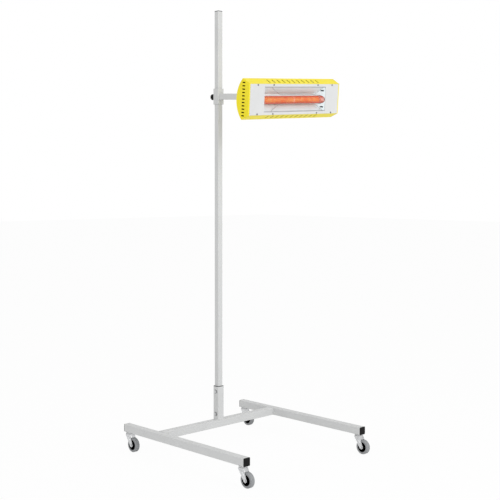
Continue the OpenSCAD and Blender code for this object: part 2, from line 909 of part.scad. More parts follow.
// Closed tube through rings of points that lie round its path, all with as many points
module skin(rings) {
    sides = len(rings[0]);
    last = (len(rings) - 1) * sides;
    points = [for (ring = rings) for (p = ring) p];
    faces = concat(
        [for (k = [1:sides - 2]) [0, k, k + 1]],
        [for (i = [0:len(rings) - 2]) for (k = [0:sides - 1])
            let (a = i * sides + k, b = i * sides + (k + 1) % sides)
                each [[a, b + sides, b], [a, a + sides, b + sides]]],
        [for (k = [1:sides - 2]) [last, last + k + 1, last + k]]
    );
    polyhedron(points, faces);
}

// Rings of the heating coil: a helix about X whose ends run straight into the caps
coil_rings = 8;
coil_sides = 6;
coil_pitch = coil_len / coil_turns;
coil_steps = coil_turns * coil_rings;
axis_x = [1, 0, 0];
function coil_radial(i) = [0, cos(360 * i / coil_rings), sin(360 * i / coil_rings)];
function coil_round(i) = [0, -sin(360 * i / coil_rings), cos(360 * i / coil_rings)];
function coil_centre(i) =
    (coil_shift + coil_len * (i / coil_steps - 1 / 2)) * axis_x + coil_d / 2 * coil_radial(i);
function coil_tangent(i) = unit(coil_pitch * axis_x + PI * coil_d * coil_round(i));
function coil_ring(centre, tangent, radial) = [
    for (k = [0:coil_sides - 1])
        centre + coil_wire / 2 * (cos(360 * k / coil_sides) * radial
            + sin(360 * k / coil_sides) * cross(tangent, radial))
];
function coil_bend(i) = coil_ring(coil_centre(i), unit(axis_x + coil_tangent(i)), coil_radial(i));
function coil_end(i, lead) = coil_ring(coil_centre(i) + lead * axis_x, axis_x, coil_radial(i));
coil_path = concat(
    [coil_end(0, -coil_lead), coil_bend(0)],
    [for (i = [1:coil_steps - 1]) coil_ring(coil_centre(i), coil_tangent(i), coil_radial(i))],
    [coil_bend(coil_steps), coil_end(coil_steps, coil_lead)]
);
coil_least_gap = min([
    for (i = [0:coil_steps - coil_rings]) for (j = [i + coil_rings - 1:i + coil_rings + 1])
        min([for (p = coil_path[i]) for (q = coil_path[j]) norm(p - q)])
]);
echo(coil_least_gap = coil_least_gap);

module heating_coil() {
    color(c_glow) in_casing() translate([0, quartz_depth, -quartz_drop]) skin(coil_path);
}

module tube_cap(plug) {
    end = quartz_len / 2;
    at_tube() {
        difference() {
            cylinder_to(end - cap_lap, end - cap_lap + cap_len, cap_r);
            cylinder_to(end - cap_lap - over, end, quartz_d / 2 + snug_gap);
        }
        cylinder_to(end - plug, end + over, quartz_d / 2 - quartz_wall - sheet_gap);
    }
}

module tube_caps() {
    color(c_ceramic) in_casing() {
        mirror([1, 0, 0]) tube_cap(left_plug);
        tube_cap(right_plug);
    }
}

module tube_holders() {
    color(c_zinc) in_casing() for (side = [0, 1]) mirror([side, 0, 0]) difference() {
        union() {
            translate([holder_x - holder_t / 2, sheet_t, -holder_h / 2])
                cube([holder_t, holder_depth - sheet_t, holder_h]);
            translate([holder_x - holder_t / 2, sheet_t, -holder_h / 2])
                cube([holder_foot, holder_t, holder_h]);
        }
        at_tube() cylinder(r = cap_r + snug_gap, h = casing_len);
        translate([0, 0, -quartz_drop - cap_r - snug_gap])
            cube([casing_len, quartz_depth, 2 * (cap_r + snug_gap)]);
    }
}

// Wiring

module terminal_block() {
    color(c_ceramic) in_casing() translate([block_x - block_w / 2, block_depth, -block_h / 2])
        difference() {
            cube([block_w, block_t, block_h]);
            for (i = [0:block_poles - 1])
                translate([(i + 1 / 2) * block_w / block_poles, -over, block_h / 2])
                    rotate([-90, 0, 0]) cylinder(d = block_hole_d, h = block_t / 2);
        }
}

// Wire of straight runs through the points, bent about the normal
function heading(points, i) = unit(points[i + 1] - points[i]);
function mitre(points, i) =
    heading(points, max(i - 1, 0)) + heading(points, min(i, len(points) - 2));
function wire_ring(centre, mitre, side) = [
    for (k = [0:wire_sides - 1])
        centre + wire_r * (cos(360 * k / wire_sides) * 2 / norm(mitre) * side
            + sin(360 * k / wire_sides) * cross(unit(mitre), side))
];
module wire(points, normal) {
    skin([
        for (i = [0:len(points) - 1])
            wire_ring(points[i], mitre(points, i), unit(cross(normal, mitre(points, i))))
    ]);
}

module internal_wires() {
    cap_end = quartz_len / 2 - cap_lap + cap_len;
    turn_x = cap_end + wire_bend;
    back = holder_depth + wire_bend;
    block_start = block_x - block_w / 2;
    block_end = block_x + block_w / 2;
    mid = block_depth + block_t / 2;
    fit_x = casing_len / 2 - inlet_body;
    switch_x = casing_len / 2 - switch_body;
    link = fit_depth + pin_pitch;
    feed_z = block_h / 2 - wire_r;
    level = [0, 0, 1];
    upright = [0, 1, 0];
    color(c_copper) in_casing() {
        wire([[cap_end, quartz_depth, -quartz_drop], [turn_x, quartz_depth, -quartz_drop],
            [turn_x, back, -quartz_drop], [block_end + wire_bend, mid, -quartz_drop],
            [block_end, mid, -quartz_drop]], level);
        wire([[-cap_end, quartz_depth, -quartz_drop], [-turn_x, quartz_depth, -quartz_drop],
            [-turn_x, back, -quartz_drop], [block_start - wire_bend, back, -quartz_drop],
            [block_start - wire_bend, mid, -quartz_drop],
            [block_start, mid, -quartz_drop]], level);
        wire([[fit_x, fit_depth, inlet_z], [fit_x - wire_bend, fit_depth, inlet_z],
            [block_end + wire_bend, mid, -feed_z], [block_end, mid, -feed_z]], level);
        wire([[fit_x, link, inlet_z], [fit_x - wire_bend, link, inlet_z],
            [fit_x - wire_bend, link, switch_z], [switch_x, link, switch_z]], upright);
        wire([[switch_x, fit_depth, switch_z], [switch_x - wire_bend, fit_depth, switch_z],
            [block_end + wire_bend, mid, feed_z], [block_end, mid, feed_z]], level);
    }
}

// Inlet and switch, drawn on the outer face of the right end panel

module on_panel(z) {
    in_casing() translate([casing_len / 2, fit_depth, z]) children();
}

// Box from x0 to x1, w wide in depth and h high, about the fitting's middle
module fitting_box(x0, x1, w, h) {
    translate([x0, -w / 2, -h / 2]) cube([x1 - x0, w, h]);
}

module mains_inlet() {
    color(c_black) on_panel(inlet_z) {
        difference() {
            union() {
                fitting_box(0, fitting_flange, inlet_w + 2 * fitting_rim, inlet_h + 2 * fitting_rim);
                fitting_box(-inlet_body, over / 2, inlet_w, inlet_h);
            }
            fitting_box(-inlet_body + fitting_wall, fitting_flange + over,
                inlet_w - 2 * fitting_wall, inlet_h - 2 * fitting_wall);
        }
        for (z = [-1, 0, 1])
            translate([0, z == 0 ? pin_step : -pin_step, z * pin_pitch])
                fitting_box(-inlet_body + fitting_wall / 2, -inlet_body + pin_len, pin_h, pin_w);
    }
}

module switch_frame() {
    color(c_black) on_panel(switch_z) difference() {
        union() {
            fitting_box(0, fitting_flange, switch_w + 2 * fitting_rim, switch_h + 2 * fitting_rim);
            fitting_box(-switch_body, over / 2, switch_w, switch_h);
        }
        fitting_box(-switch_body + fitting_wall, fitting_flange + over,
            switch_w - 2 * fitting_wall, switch_h - 2 * fitting_wall);
        translate([-rocker_pivot, -switch_w / 2 - over, 0]) rotate([-90, 0, 0])
            cylinder(r = rocker_pin_d / 2 + run_gap, h = switch_w + 2 * over);
    }
}

module switch_rocker() {
    half_w = switch_w / 2 - fitting_wall - turn_gap;
    half_h = switch_h / 2 - fitting_wall - rocker_end_gap;
    color(c_black) on_panel(switch_z) translate([-rocker_pivot, 0, 0])
        rotate([0, rocker_tilt, 0]) {
            translate([0, half_w, 0]) rotate([90, 0, 0]) linear_extrude(2 * half_w)
                polygon([
                    [rocker_pivot + rocker_rise, half_h],
                    [rocker_pivot + rocker_rise / 2, 0],
                    [rocker_pivot + rocker_rise, -half_h],
                    [0, -half_h],
                    [-rocker_keel, -rocker_keel_half],
                    [-rocker_keel, rocker_keel_half],
                    [0, half_h]
                ]);
            translate([0, -switch_w / 2, 0]) rotate([-90, 0, 0])
                cylinder(d = rocker_pin_d, h = switch_w);
        }
}

// Bracket on the casing's back

module bracket_ear() {
    difference() {
        union() {
            circle(d = bracket_h);
            translate([-pivot_back - bracket_root, -bracket_h / 2])
                square([pivot_back + bracket_root, bracket_h]);
        }
        translate([-pivot_back - back_r, -pivot_rise]) circle(back_r, $fn = back_facets);
        circle(pivot_d / 2 + run_gap);
    }
}

module bracket_base() {
    difference() {
        intersection() {
            translate([-pivot_back - back_r, -pivot_rise])
                circle(back_r + bracket_base_t, $fn = back_facets);
            translate([-pivot_back - bracket_root, -bracket_h / 2])
                square([pivot_back, bracket_h]);
        }
        translate([-pivot_back - back_r, -pivot_rise]) circle(back_r, $fn = back_facets);
    }
}

module head_bracket() {
    color(c_zinc) in_head() difference() {
        union() {
            along_x(-bracket_half, -bracket_half + bracket_t) bracket_ear();
            along_x(bracket_half - bracket_t, bracket_half) bracket_ear();
            along_x(-bracket_base_w / 2, bracket_base_w / 2) bracket_base();
        }
        for (x = [-1, 1]) translate([x * bracket_bolt_x, -pivot_back + bracket_h / 2, -pivot_rise])
            rotate([90, 0, 0]) cylinder(r = bracket_bolt_d / 2 + bolt_gap, h = bracket_h);
    }
}

module bracket_bolts() {
    nut_t = bracket_bolt_d * hex_nut_share;
    corner = bracket_bolt_d * hex_af_share / cos(30) / 2;
    grip = bracket_base_t + sheet_t + sag(back_r - sheet_t, corner);
    color(c_zinc) in_head() for (x = [-1, 1])
        translate([x * bracket_bolt_x, -pivot_back + bracket_base_t, -pivot_rise])
            rotate([-90, 0, 0]) {
                hex_bolt(bracket_bolt_d, grip + nut_t + bolt_tip);
                translate([0, 0, -grip - nut_t]) difference() {
                    hexagon(bracket_bolt_d * hex_af_share, nut_t);
                    translate([0, 0, -over])
                        cylinder(r = bracket_bolt_d / 2 + snug_gap, h = nut_t + 2 * over);
                }
            }
}

// One line per node
leg(-1);  // left_leg
leg(1);  // right_leg
cross_tube();
leg_end_plugs();
castor_stem_nuts();
castor_balls();
for (c = CASTORS) {
    at_castor(c) castor_stem();
    at_castor(c) castor_fork();
    at_castor(c) castor_axle(c[1]);
    at_castor(c) castor_hub();
    at_castor(c) castor_tyre();
}
mast_socket();
socket_liner();
socket_bolts();
socket_nuts();
mast();
mast_plug();
clamp_sleeve();
sleeve_nut();
arm_tube();
arm_end_plate();
swivel_bolt();
clamp_screw();
clamp_knob();
yoke();
tilt_bolt();
tilt_knob();
casing_shell();
end_panel(-1, false);  // left_end_panel
end_panel(1, true);  // right_end_panel
front_plate();
plate_screws();
reflector();
reflector_ends();
quartz_tube();
heating_coil();
tube_caps();
tube_holders();
terminal_block();
internal_wires();
mains_inlet();
switch_frame();
switch_rocker();
head_bracket();
bracket_bolts();
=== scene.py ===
"""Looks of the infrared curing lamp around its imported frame.

Blender works in metres. Points given to mm(), Shape and piece() are millimetres.
"""

import json
import math

import bmesh
import bpy
from mathutils import Matrix, Vector


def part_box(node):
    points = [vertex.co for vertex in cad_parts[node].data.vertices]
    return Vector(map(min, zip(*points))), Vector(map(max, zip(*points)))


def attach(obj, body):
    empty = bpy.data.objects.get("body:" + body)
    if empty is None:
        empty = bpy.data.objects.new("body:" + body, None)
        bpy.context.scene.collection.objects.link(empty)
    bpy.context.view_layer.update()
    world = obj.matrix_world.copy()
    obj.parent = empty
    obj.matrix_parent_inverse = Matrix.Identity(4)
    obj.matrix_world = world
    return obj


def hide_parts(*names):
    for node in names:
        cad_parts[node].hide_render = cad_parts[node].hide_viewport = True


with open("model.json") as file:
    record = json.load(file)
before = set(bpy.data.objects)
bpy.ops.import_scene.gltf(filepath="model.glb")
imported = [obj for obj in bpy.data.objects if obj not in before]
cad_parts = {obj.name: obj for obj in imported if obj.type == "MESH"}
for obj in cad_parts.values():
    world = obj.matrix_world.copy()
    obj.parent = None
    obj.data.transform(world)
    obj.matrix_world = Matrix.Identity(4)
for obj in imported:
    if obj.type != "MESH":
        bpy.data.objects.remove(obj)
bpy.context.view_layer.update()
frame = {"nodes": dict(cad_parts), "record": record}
NODES = frame["nodes"]
scene = bpy.context.scene
scene.view_settings.view_transform = "Standard"
CASTORS = ("front_left", "front_right", "back_left", "back_right")


def mm(x, y, z):
    return x * 0.001, y * 0.001, z * 0.001


# Lengths of the part's source that the pieces repeat, in millimetres
MAST_Y = 219.25
SLEEVE_Z = 1855
ARM_REACH = 438
HALF_TUBE = 20  # of the square tube of base, socket and sleeve
HALF_MAST = 15
HALF_TRACK = 417  # from the middle of the stand to a leg's middle
SOCKET_BOLT_Z = (170, 290)
WASHER = 1.5
M8_ACROSS, M8_HEAD, M8_NUT = 13.2, 5.2, 6.4
FORK_HALF = 16  # from a wheel's middle to its fork's outer face
CASTOR_TRAIL = 30  # from a swivel's axis back to the axle
PIVOT_TO_FACE = 120  # from the tilt axis to the front plate's face
CASING_END = 316  # from the casing's middle to its end
PLATE_TOP = 72.5
SHEET = 1.5  # thickness of the shell and the front plate
RIDGE_Y, RIDGE_Z = 47, 96
BACK_Y = 85
BACK_SAG = BACK_Y - RIDGE_Y
BACK_RADIUS = (RIDGE_Z ** 2 + BACK_SAG ** 2) / (2 * BACK_SAG)
BEVEL = math.atan((RIDGE_Z - PLATE_TOP) / RIDGE_Y)
TUBE_Y, TUBE_Z = 23, -4
MM = 0.001

# Frames of the upper pieces, as in the part's source
ARM_DROOP, HEAD_ROLL, HEAD_TILT = (math.radians(a) for a in (3.5, 4, 4))
ARM = Matrix.Translation(mm(0, MAST_Y, SLEEVE_Z)) @ Matrix.Rotation(ARM_DROOP, 4, "X")
YOKE = ARM @ Matrix.Translation(mm(0, -ARM_REACH, 0)) @ Matrix.Rotation(-HEAD_ROLL, 4, "Y")
HEAD = YOKE @ Matrix.Rotation(HEAD_TILT, 4, "X")
CASING = HEAD @ Matrix.Translation(mm(0, -PIVOT_TO_FACE, -5))


# Camera

def make_camera():
    """The photo's camera, as solved from its outlines."""
    yaw, pitch, roll = (math.radians(a) for a in (44.18, 3.76, -0.105))
    forward = Vector((math.sin(yaw) * math.cos(pitch), math.cos(yaw) * math.cos(pitch), -math.sin(pitch)))
    level = Vector((math.cos(yaw), -math.sin(yaw), 0))
    upright = level.cross(forward)
    right = math.cos(roll) * level - math.sin(roll) * upright
    up = math.sin(roll) * level + math.cos(roll) * upright
    data = bpy.data.cameras.new("camera")
    data.sensor_width = 36
    data.lens = 70.517
    data.clip_end = 100
    cam = bpy.data.objects.new("camera", data)
    turn = Matrix((right, up, -forward)).transposed().to_4x4()
    cam.matrix_world = Matrix.Translation((-3.495, -3.61675, 1.389)) @ turn
    scene.collection.objects.link(cam)
    scene.camera = cam


# Materials

def linear(colour):
    """Linear colour from the sRGB numbers 0-255 it is seen as."""
    out = []
    for c in colour:
        c /= 255
        out.append(c / 12.92 if c <= 0.04045 else ((c + 0.055) / 1.055) ** 2.4)
    return (*out, 1)


class Shader:
    """A Principled material and the few node chains the finishes share."""

    def __init__(self, name, colour, rough, metal=0.0):
        self.material = bpy.data.materials.new(name)
        self.material.use_nodes = True
        self.tree = self.material.node_tree
        self.bsdf = self.tree.nodes["Principled BSDF"]
        self.bsdf.inputs["Base Color"].default_value = linear(colour)
        self.bsdf.inputs["Roughness"].default_value = rough
        self.bsdf.inputs["Metallic"].default_value = metal
        self.base = linear(colour)
        self.place = self.add("ShaderNodeTexCoord").outputs["Object"]

    def add(self, kind, **values):
        node = self.tree.nodes.new(kind)
        for key, value in values.items():
            setattr(node, key, value)
        return node

    def link(self, source, target):
        self.tree.links.new(source, target)

    def noise(self, scale, detail=3.0, stretch=None, rough=0.5):
        """Noise from 0 to 1; small numbers in stretch draw it out along their axes."""
        place = self.place
        if stretch:
            mapping = self.add("ShaderNodeMapping")
            mapping.inputs["Scale"].default_value = stretch
            self.link(place, mapping.inputs["Vector"])
            place = mapping.outputs["Vector"]
        node = self.add("ShaderNodeTexNoise")
        node.inputs["Scale"].default_value = scale
        node.inputs["Detail"].default_value = detail
        node.inputs["Roughness"].default_value = rough
        self.link(place, node.inputs["Vector"])
        return node.outputs["Fac"]

    def spread(self, source, low, high, out_low, out_high):
        """Maps low to out_low and high to out_high, and stops there."""
        node = self.add("ShaderNodeMapRange")
        keys = ("From Min", "From Max", "To Min", "To Max")
        for key, value in zip(keys, (low, high, out_low, out_high)):
            node.inputs[key].default_value = value
        self.link(source, node.inputs["Value"])
        return node.outputs["Result"]

    def maths(self, operation, *values):
        """A calculation on outputs and plain numbers."""
        node = self.add("ShaderNodeMath", operation=operation)
        for i, value in enumerate(values):
            if isinstance(value, (int, float)):
                node.inputs[i].default_value = value
            else:
                self.link(value, node.inputs[i])
        return node.outputs[0]

    def casing_axes(self):
        """Outputs X, Y and Z of the point in the casing's own frame."""
        local = self.add("ShaderNodeMapping", vector_type="TEXTURE")
        local.inputs["Location"].default_value = CASING.translation
        local.inputs["Rotation"].default_value = CASING.to_euler()
        self.link(self.place, local.inputs["Vector"])
        parts = self.add("ShaderNodeSeparateXYZ")
        self.link(local.outputs["Vector"], parts.inputs["Vector"])
        return parts.outputs

    def tint(self, source, low, high, before=None):
        """Mixes from low, or the colour before it, to high along a mask."""
        ramp = self.add("ShaderNodeMix", data_type="RGBA")
        self.link(source, ramp.inputs["Factor"])
        if before is None:
            ramp.inputs["A"].default_value = low
        else:
            self.link(before, ramp.inputs["A"])
        ramp.inputs["B"].default_value = high
        self.link(ramp.outputs["Result"], self.bsdf.inputs["Base Color"])
        return ramp.outputs["Result"]

    def shade(self, factor):
        """The base colour, darker or lighter."""
        return tuple(c * factor for c in self.base[:3]) + (1,)

    def edges(self, radius):
        """Rounded normals at the edges, and a mask of where they are."""
        bevel = self.add("ShaderNodeBevel", samples=4)
        bevel.inputs["Radius"].default_value = radius
        geometry = self.add("ShaderNodeNewGeometry")
        dot = self.add("ShaderNodeVectorMath", operation="DOT_PRODUCT")
        self.link(bevel.outputs["Normal"], dot.inputs[0])
        self.link(geometry.outputs["Normal"], dot.inputs[1])
        return bevel.outputs["Normal"], self.spread(dot.outputs["Value"], 0.98, 0.75, 0, 1)

    def bump(self, source, height, normal=None, strength=1.0):
        """Normals of a relief with height in metres, laid over the normals given."""
        node = self.add("ShaderNodeBump")
        node.inputs["Strength"].default_value = strength
        node.inputs["Distance"].default_value = height
        self.link(source, node.inputs["Height"])
        if normal is not None:
            self.link(normal, node.inputs["Normal"])
        return node.outputs["Normal"]

    def finish(self, normal, rough=None):
        self.link(normal, self.bsdf.inputs["Normal"])
        if rough is not None:
            self.link(rough, self.bsdf.inputs["Roughness"])
        return self.material


def painted_shade_inside_casing(s):
    """Mask of painted shade on the shell's inner face and the walls of its slots, from how deep a point
    lies under the outer skin.
    """
    axes = s.casing_axes()
    depth, height = axes["Y"], s.maths("ABSOLUTE", axes["Z"])
    slope = s.maths("MULTIPLY_ADD", depth, -math.tan(BEVEL), height)
    bevel = s.maths("MULTIPLY", s.maths("SUBTRACT", slope, PLATE_TOP * MM), math.cos(BEVEL))
    along = s.maths("SUBTRACT", depth, (BACK_Y - BACK_RADIUS) * MM)
    squares = s.maths("ADD", s.maths("MULTIPLY", along, along), s.maths("MULTIPLY", height, height))
    back = s.maths("SUBTRACT", s.maths("SQRT", squares), BACK_RADIUS * MM)
    front = s.maths("SUBTRACT", SHEET * MM, depth)
    end = s.maths("SUBTRACT", s.maths("ABSOLUTE", axes["X"]), CASING_END * MM)
    skin = s.maths("MAXIMUM", s.maths("MAXIMUM", bevel, back), s.maths("MAXIMUM", front, end))
    return s.spread(skin, -0.0003, -0.0007, 0, 1)


def powder_coat(name, colour, rough=0.42, wear=0.25, chip=(150, 150, 148), casing=False, gloss=0.45):
    """Baked powder coat: fine orange peel, faint clouding, edges rubbed a little; on the casing, painted
    shade on the shell's inner face and slot walls.
    """
    s = Shader(name, colour, rough)
    surface_tone = s.tint(s.spread(s.noise(9, 4), 0.3, 0.7, 0, 1), s.shade(0.955), s.shade(1.0))
    if casing:
        # painted shade: the casing's inner face and slot walls darkened to a dim yellow-brown
        surface_tone = s.tint(painted_shade_inside_casing(s), None, linear((46, 40, 16)), before=surface_tone)
    normal, edge = s.edges(0.0011)
    grit = s.spread(s.noise(260, 3), 0.48, 0.72, 0, wear)
    s.tint(s.maths("MULTIPLY", edge, grit), None, linear(chip), before=surface_tone)
    peel = s.bump(s.noise(900, 2), 0.00006, normal, 0.55)
    peel = s.bump(s.noise(160, 2), 0.00012, peel, 0.35)
    s.bsdf.inputs["Specular IOR Level"].default_value = gloss
    return s.finish(peel, s.spread(s.noise(45, 3), 0.3, 0.7, rough - 0.06, rough + 0.08))


def zinc_plate(name, colour=(216, 217, 218), rough=0.3, grain=(1, 1, 1), scale=120):
    """Bright zinc: clouded, with fine scratches along the grain."""
    s = Shader(name, colour, rough, 1.0)
    s.tint(s.spread(s.noise(38, 5), 0.3, 0.7, 0, 1), s.shade(0.86), s.shade(1.0))
    normal, _ = s.edges(0.0006)
    scratch = s.bump(s.noise(scale, 6, grain, 0.65), 0.00005, normal, 0.4)
    return s.finish(scratch, s.spread(s.noise(70, 4), 0.3, 0.7, rough - 0.08, rough + 0.14))


def moulded(name, colour, rough=0.45, gloss=0.5):
    """Moulded plastic with a fine spark-eroded grain."""
    s = Shader(name, colour, rough)
    s.bsdf.inputs["Specular IOR Level"].default_value = gloss
    s.tint(s.spread(s.noise(30, 3), 0.3, 0.7, 0, 1), s.shade(0.8), s.shade(1.15))
    normal, _ = s.edges(0.0007)
    grain = s.bump(s.noise(1400, 2), 0.00005, normal, 0.5)
    return s.finish(grain, s.spread(s.noise(90, 3), 0.3, 0.7, rough - 0.07, rough + 0.1))


def tread_rubber(name):
    """Grey thermoplastic rubber: matt, with dust in its grain."""
    s = Shader(name, (157, 159, 161), 0.7)
    grime = s.spread(s.noise(55, 6, None, 0.7), 0.35, 0.75, 0, 1)
    s.tint(grime, s.shade(1.0), s.shade(0.72))
    normal, _ = s.edges(0.0009)
    grain = s.bump(s.noise(700, 4), 0.00012, normal, 0.6)
    return s.finish(grain, s.spread(s.noise(80, 3), 0.3, 0.7, 0.6, 0.82))


def polished_sheet(name):
    """Rolled aluminium, satin: drawn lines along the trough, soft dents, and painted shadow darkening the
    mouth rims.
    """
    s = Shader(name, (232, 243, 246), 0.5, 0.08)
    surface_tone = s.tint(s.spread(s.noise(16, 3), 0.3, 0.7, 0, 1), s.shade(0.9), s.shade(1.0))
    height = s.maths("ABSOLUTE", s.casing_axes()["Z"])
    # painted shadow: the trough darkened towards its upper and lower rims, under the front plate's edge
    rims = s.spread(height, 0.0535, 0.060, 0, 0.85)
    s.tint(rims, None, linear((112, 112, 118)), before=surface_tone)
    lines = s.bump(s.noise(220, 4, (0.05, 1, 1), 0.6), 0.00004, None, 0.35)
    dents = s.bump(s.noise(13, 1), 0.0006, lines, 0.25)
    return s.finish(dents, s.spread(s.noise(150, 3, (0.05, 1, 1)), 0.3, 0.7, 0.4, 0.55))


def glazed(name, colour, rough=0.35):
    """Steatite ceramic: cream, speckled, half matt."""
    s = Shader(name, colour, rough)
    s.tint(s.spread(s.noise(420, 4), 0.55, 0.7, 0, 1), s.shade(1.0), s.shade(0.82))
    glaze = s.bump(s.noise(500, 3), 0.00008, None, 0.4)
    return s.finish(glaze, s.spread(s.noise(120, 3), 0.3, 0.7, rough - 0.06, rough + 0.12))


def quartz_glass(name):
    """The tube's quartz, lit from inside: clear face on, redder where the wall is seen edge on."""
    s = Shader(name, (214, 84, 56), 0.06)
    s.bsdf.inputs["Emission Color"].default_value = linear((226, 74, 46))
    s.bsdf.inputs["Emission Strength"].default_value = 0.03
    s.bsdf.inputs["IOR"].default_value = 1.45
    facing = s.add("ShaderNodeLayerWeight")
    facing.inputs["Blend"].default_value = 0.35
    s.link(s.spread(facing.outputs["Facing"], 0.12, 0.6, 0.06, 0.88), s.bsdf.inputs["Alpha"])
    ripple = s.bump(s.noise(60, 2, (0.1, 1, 1)), 0.0001, None, 0.2)
    return s.finish(ripple, s.spread(s.noise(90, 2), 0.3, 0.7, 0.04, 0.1))


def glowing(name, colour, strength, base, cool):
    """Even emission over a base mottled with a cooler colour: the hot wire's own glow, and painted light on
    the coil's support ring.
    """
    s = Shader(name, base, 0.6)
    s.bsdf.inputs["Emission Color"].default_value = linear(colour)
    s.bsdf.inputs["Emission Strength"].default_value = strength
    s.tint(s.spread(s.noise(48, 3), 0.35, 0.65, 0, 1), linear(cool), s.shade(1.0))
    return s.finish(s.bump(s.noise(900, 2), 0.00005, None, 0.3))


MATERIALS = {
    "paint": powder_coat("paint", (211, 212, 212)),
    # True turns on the painted shade inside the casing's shell and its slots
    "yellow_paint": powder_coat("yellow_paint", (250, 232, 40), 0.42, 0.12, (190, 176, 80), True, 0.3),
    "plate_paint": powder_coat("plate_paint", (215, 216, 216), 0.4, 0.12, (170, 170, 168)),
    "zinc": zinc_plate("zinc"),
    "steel": zinc_plate("steel", (176, 178, 180), 0.36, (1, 0.08, 1), 160),
    "black_plastic": moulded("black_plastic", (12, 12, 13), 0.55, gloss=0.16),
    "grey_rubber": tread_rubber("grey_rubber"),
    "reflector_sheet": polished_sheet("reflector_sheet"),
    "ceramic": glazed("ceramic", (236, 232, 222)),
    "quartz": quartz_glass("quartz"),
    "hot_wire": glowing("hot_wire", (255, 192, 108), 0.1, (255, 220, 138), (250, 152, 86)),
    "wire_cover": moulded("wire_cover", (176, 168, 150), 0.5),
    "weld": zinc_plate("weld", (176, 176, 174), 0.42),
    # painted light: the support ring's emission stands in for the coil's light falling on it
    "glow_ring": glowing("glow_ring", (255, 226, 190), 0.16, (255, 234, 210), (248, 214, 180)),
    "mark_white": moulded("mark_white", (226, 226, 224), 0.5),
    # dark moulded finish; it also draws the painted shadow lines round the end panels and at the castors'
    # swivel races
    "seal": moulded("seal", (30, 30, 31), 0.6),
    "screw": zinc_plate("screw", (112, 113, 116), 0.42),
}


def dress_frame():
    """Each CAD node takes the finish of its own material slot."""
    for entry in frame["record"]["subparts"]:
        node = NODES.get(entry["node"])
        if node is None:
            continue
        slot = entry["material_slot"]
        node.data.materials.clear()
        node.data.materials.append(MATERIALS[slot])


# Mesh helpers

def piece(name, verts, faces, body, slot, place=None, angle=35):
    """A mesh piece from millimetre points in the frame `place`, riding on a body."""
    mesh = bpy.data.meshes.new(name)
    mesh.from_pydata([mm(*v) for v in verts], [], faces)
    if place is not None:
        mesh.transform(place)
    bm = bmesh.new()
    bm.from_mesh(mesh)
    bmesh.ops.remove_doubles(bm, verts=bm.verts, dist=1e-6)
    bmesh.ops.recalc_face_normals(bm, faces=bm.faces)
    for edge in bm.edges:
        edge.smooth = len(edge.link_faces) < 2 or edge.calc_face_angle(0) < math.radians(angle)
    for face in bm.faces:
        face.smooth = True
    bm.to_mesh(mesh)
    bm.free()
    obj = bpy.data.objects.new(name, mesh)
    scene.collection.objects.link(obj)
    mesh.materials.append(MATERIALS[slot])
    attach(obj, body)
    return obj


class Shape:
    """Collects points and faces of one piece, in millimetres."""

    def __init__(self):
        self.verts, self.faces = [], []

    def rings(self, rings, closed=False):
        """Skin over rings of points: closed into a loop, or capped at both ends."""
        start, n = len(self.verts), len(rings[0])
        for ring in rings:
            self.verts += [tuple(p) for p in ring]
        count = len(rings)
        for i in range(count if closed else count - 1):
            a, b = start + i * n, start + (i + 1) % count * n
            for k in range(n):
                m = (k + 1) % n
                self.faces.append((a + k, a + m, b + m, b + k))
        if not closed:
            self.faces.append(tuple(start + k for k in range(n)))
            self.faces.append(tuple(start + (count - 1) * n + k for k in range(n)))

    def tube(self, path, radius, sides=8, closed=False):
        """Round tube along points, its section kept from twisting."""
        points = [Vector(p) for p in path]
        n = len(points)
        rings, normal = [], None
        for i, p in enumerate(points):
            before = points[(i - 1) % n] if closed or i else p
            after = points[(i + 1) % n] if closed or i < n - 1 else p
            t = (after - before).normalized()
            if normal is None:
                normal = t.orthogonal().normalized()
            normal = (normal - normal.dot(t) * t).normalized()
            across = t.cross(normal)
            r = radius(i) if callable(radius) else radius
            rings.append([p + r * (math.cos(a) * normal + math.sin(a) * across)
                          for a in (2 * math.pi * k / sides for k in range(sides))])
        self.rings(rings, closed)

    def lathe(self, profile, centre, axis, sides=32):
        """Turns (radius, height) points about an axis through centre."""
        axis = Vector(axis).normalized()
        u = axis.orthogonal().normalized()
        v = axis.cross(u)
        centre = Vector(centre)
        rings = []
        for r, h in profile:
            rings.append([centre + h * axis + max(r, 0.001) * (math.cos(a) * u + math.sin(a) * v)
                          for a in (2 * math.pi * k / sides for k in range(sides))])
        self.rings(rings)

    def made(self, name, body, slot, place=None, **options):
        return piece(name, self.verts, self.faces, body, slot, place, **options)


def hashed(i, seed=0):
    """Repeatable number from -1 to 1."""
    return (math.sin(i * 12.9898 + seed * 78.233) * 43758.5453) % 1 * 2 - 1


# Heating tube

def make_coil():
    """The glowing winding, its turns close together, with straight leads into both ceramics."""
    shape = Shape()
    x0, x1, radius, wire = -233.0, 181.0, 13.5, 1.75
    turns, steps = 92, 14
    total = turns * steps
    path = [(x0 - 6, TUBE_Y + radius, TUBE_Z)]
    for i in range(total + 1):
        a = 2 * math.pi * i / steps
        wobble = 0.12 * math.sin(i * 0.031) + 0.08 * math.sin(i * 0.0073)
        x = x0 + (x1 - x0) * i / total + wobble
        path.append((x, TUBE_Y + radius * math.cos(a), TUBE_Z + radius * math.sin(a)))
    path.append((x1 + 6, TUBE_Y + radius, TUBE_Z))
    shape.tube(path, wire, 6)
    coil = shape.made("coil", "lamp_head", "hot_wire", CASING, angle=80)
    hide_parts("heating_coil")


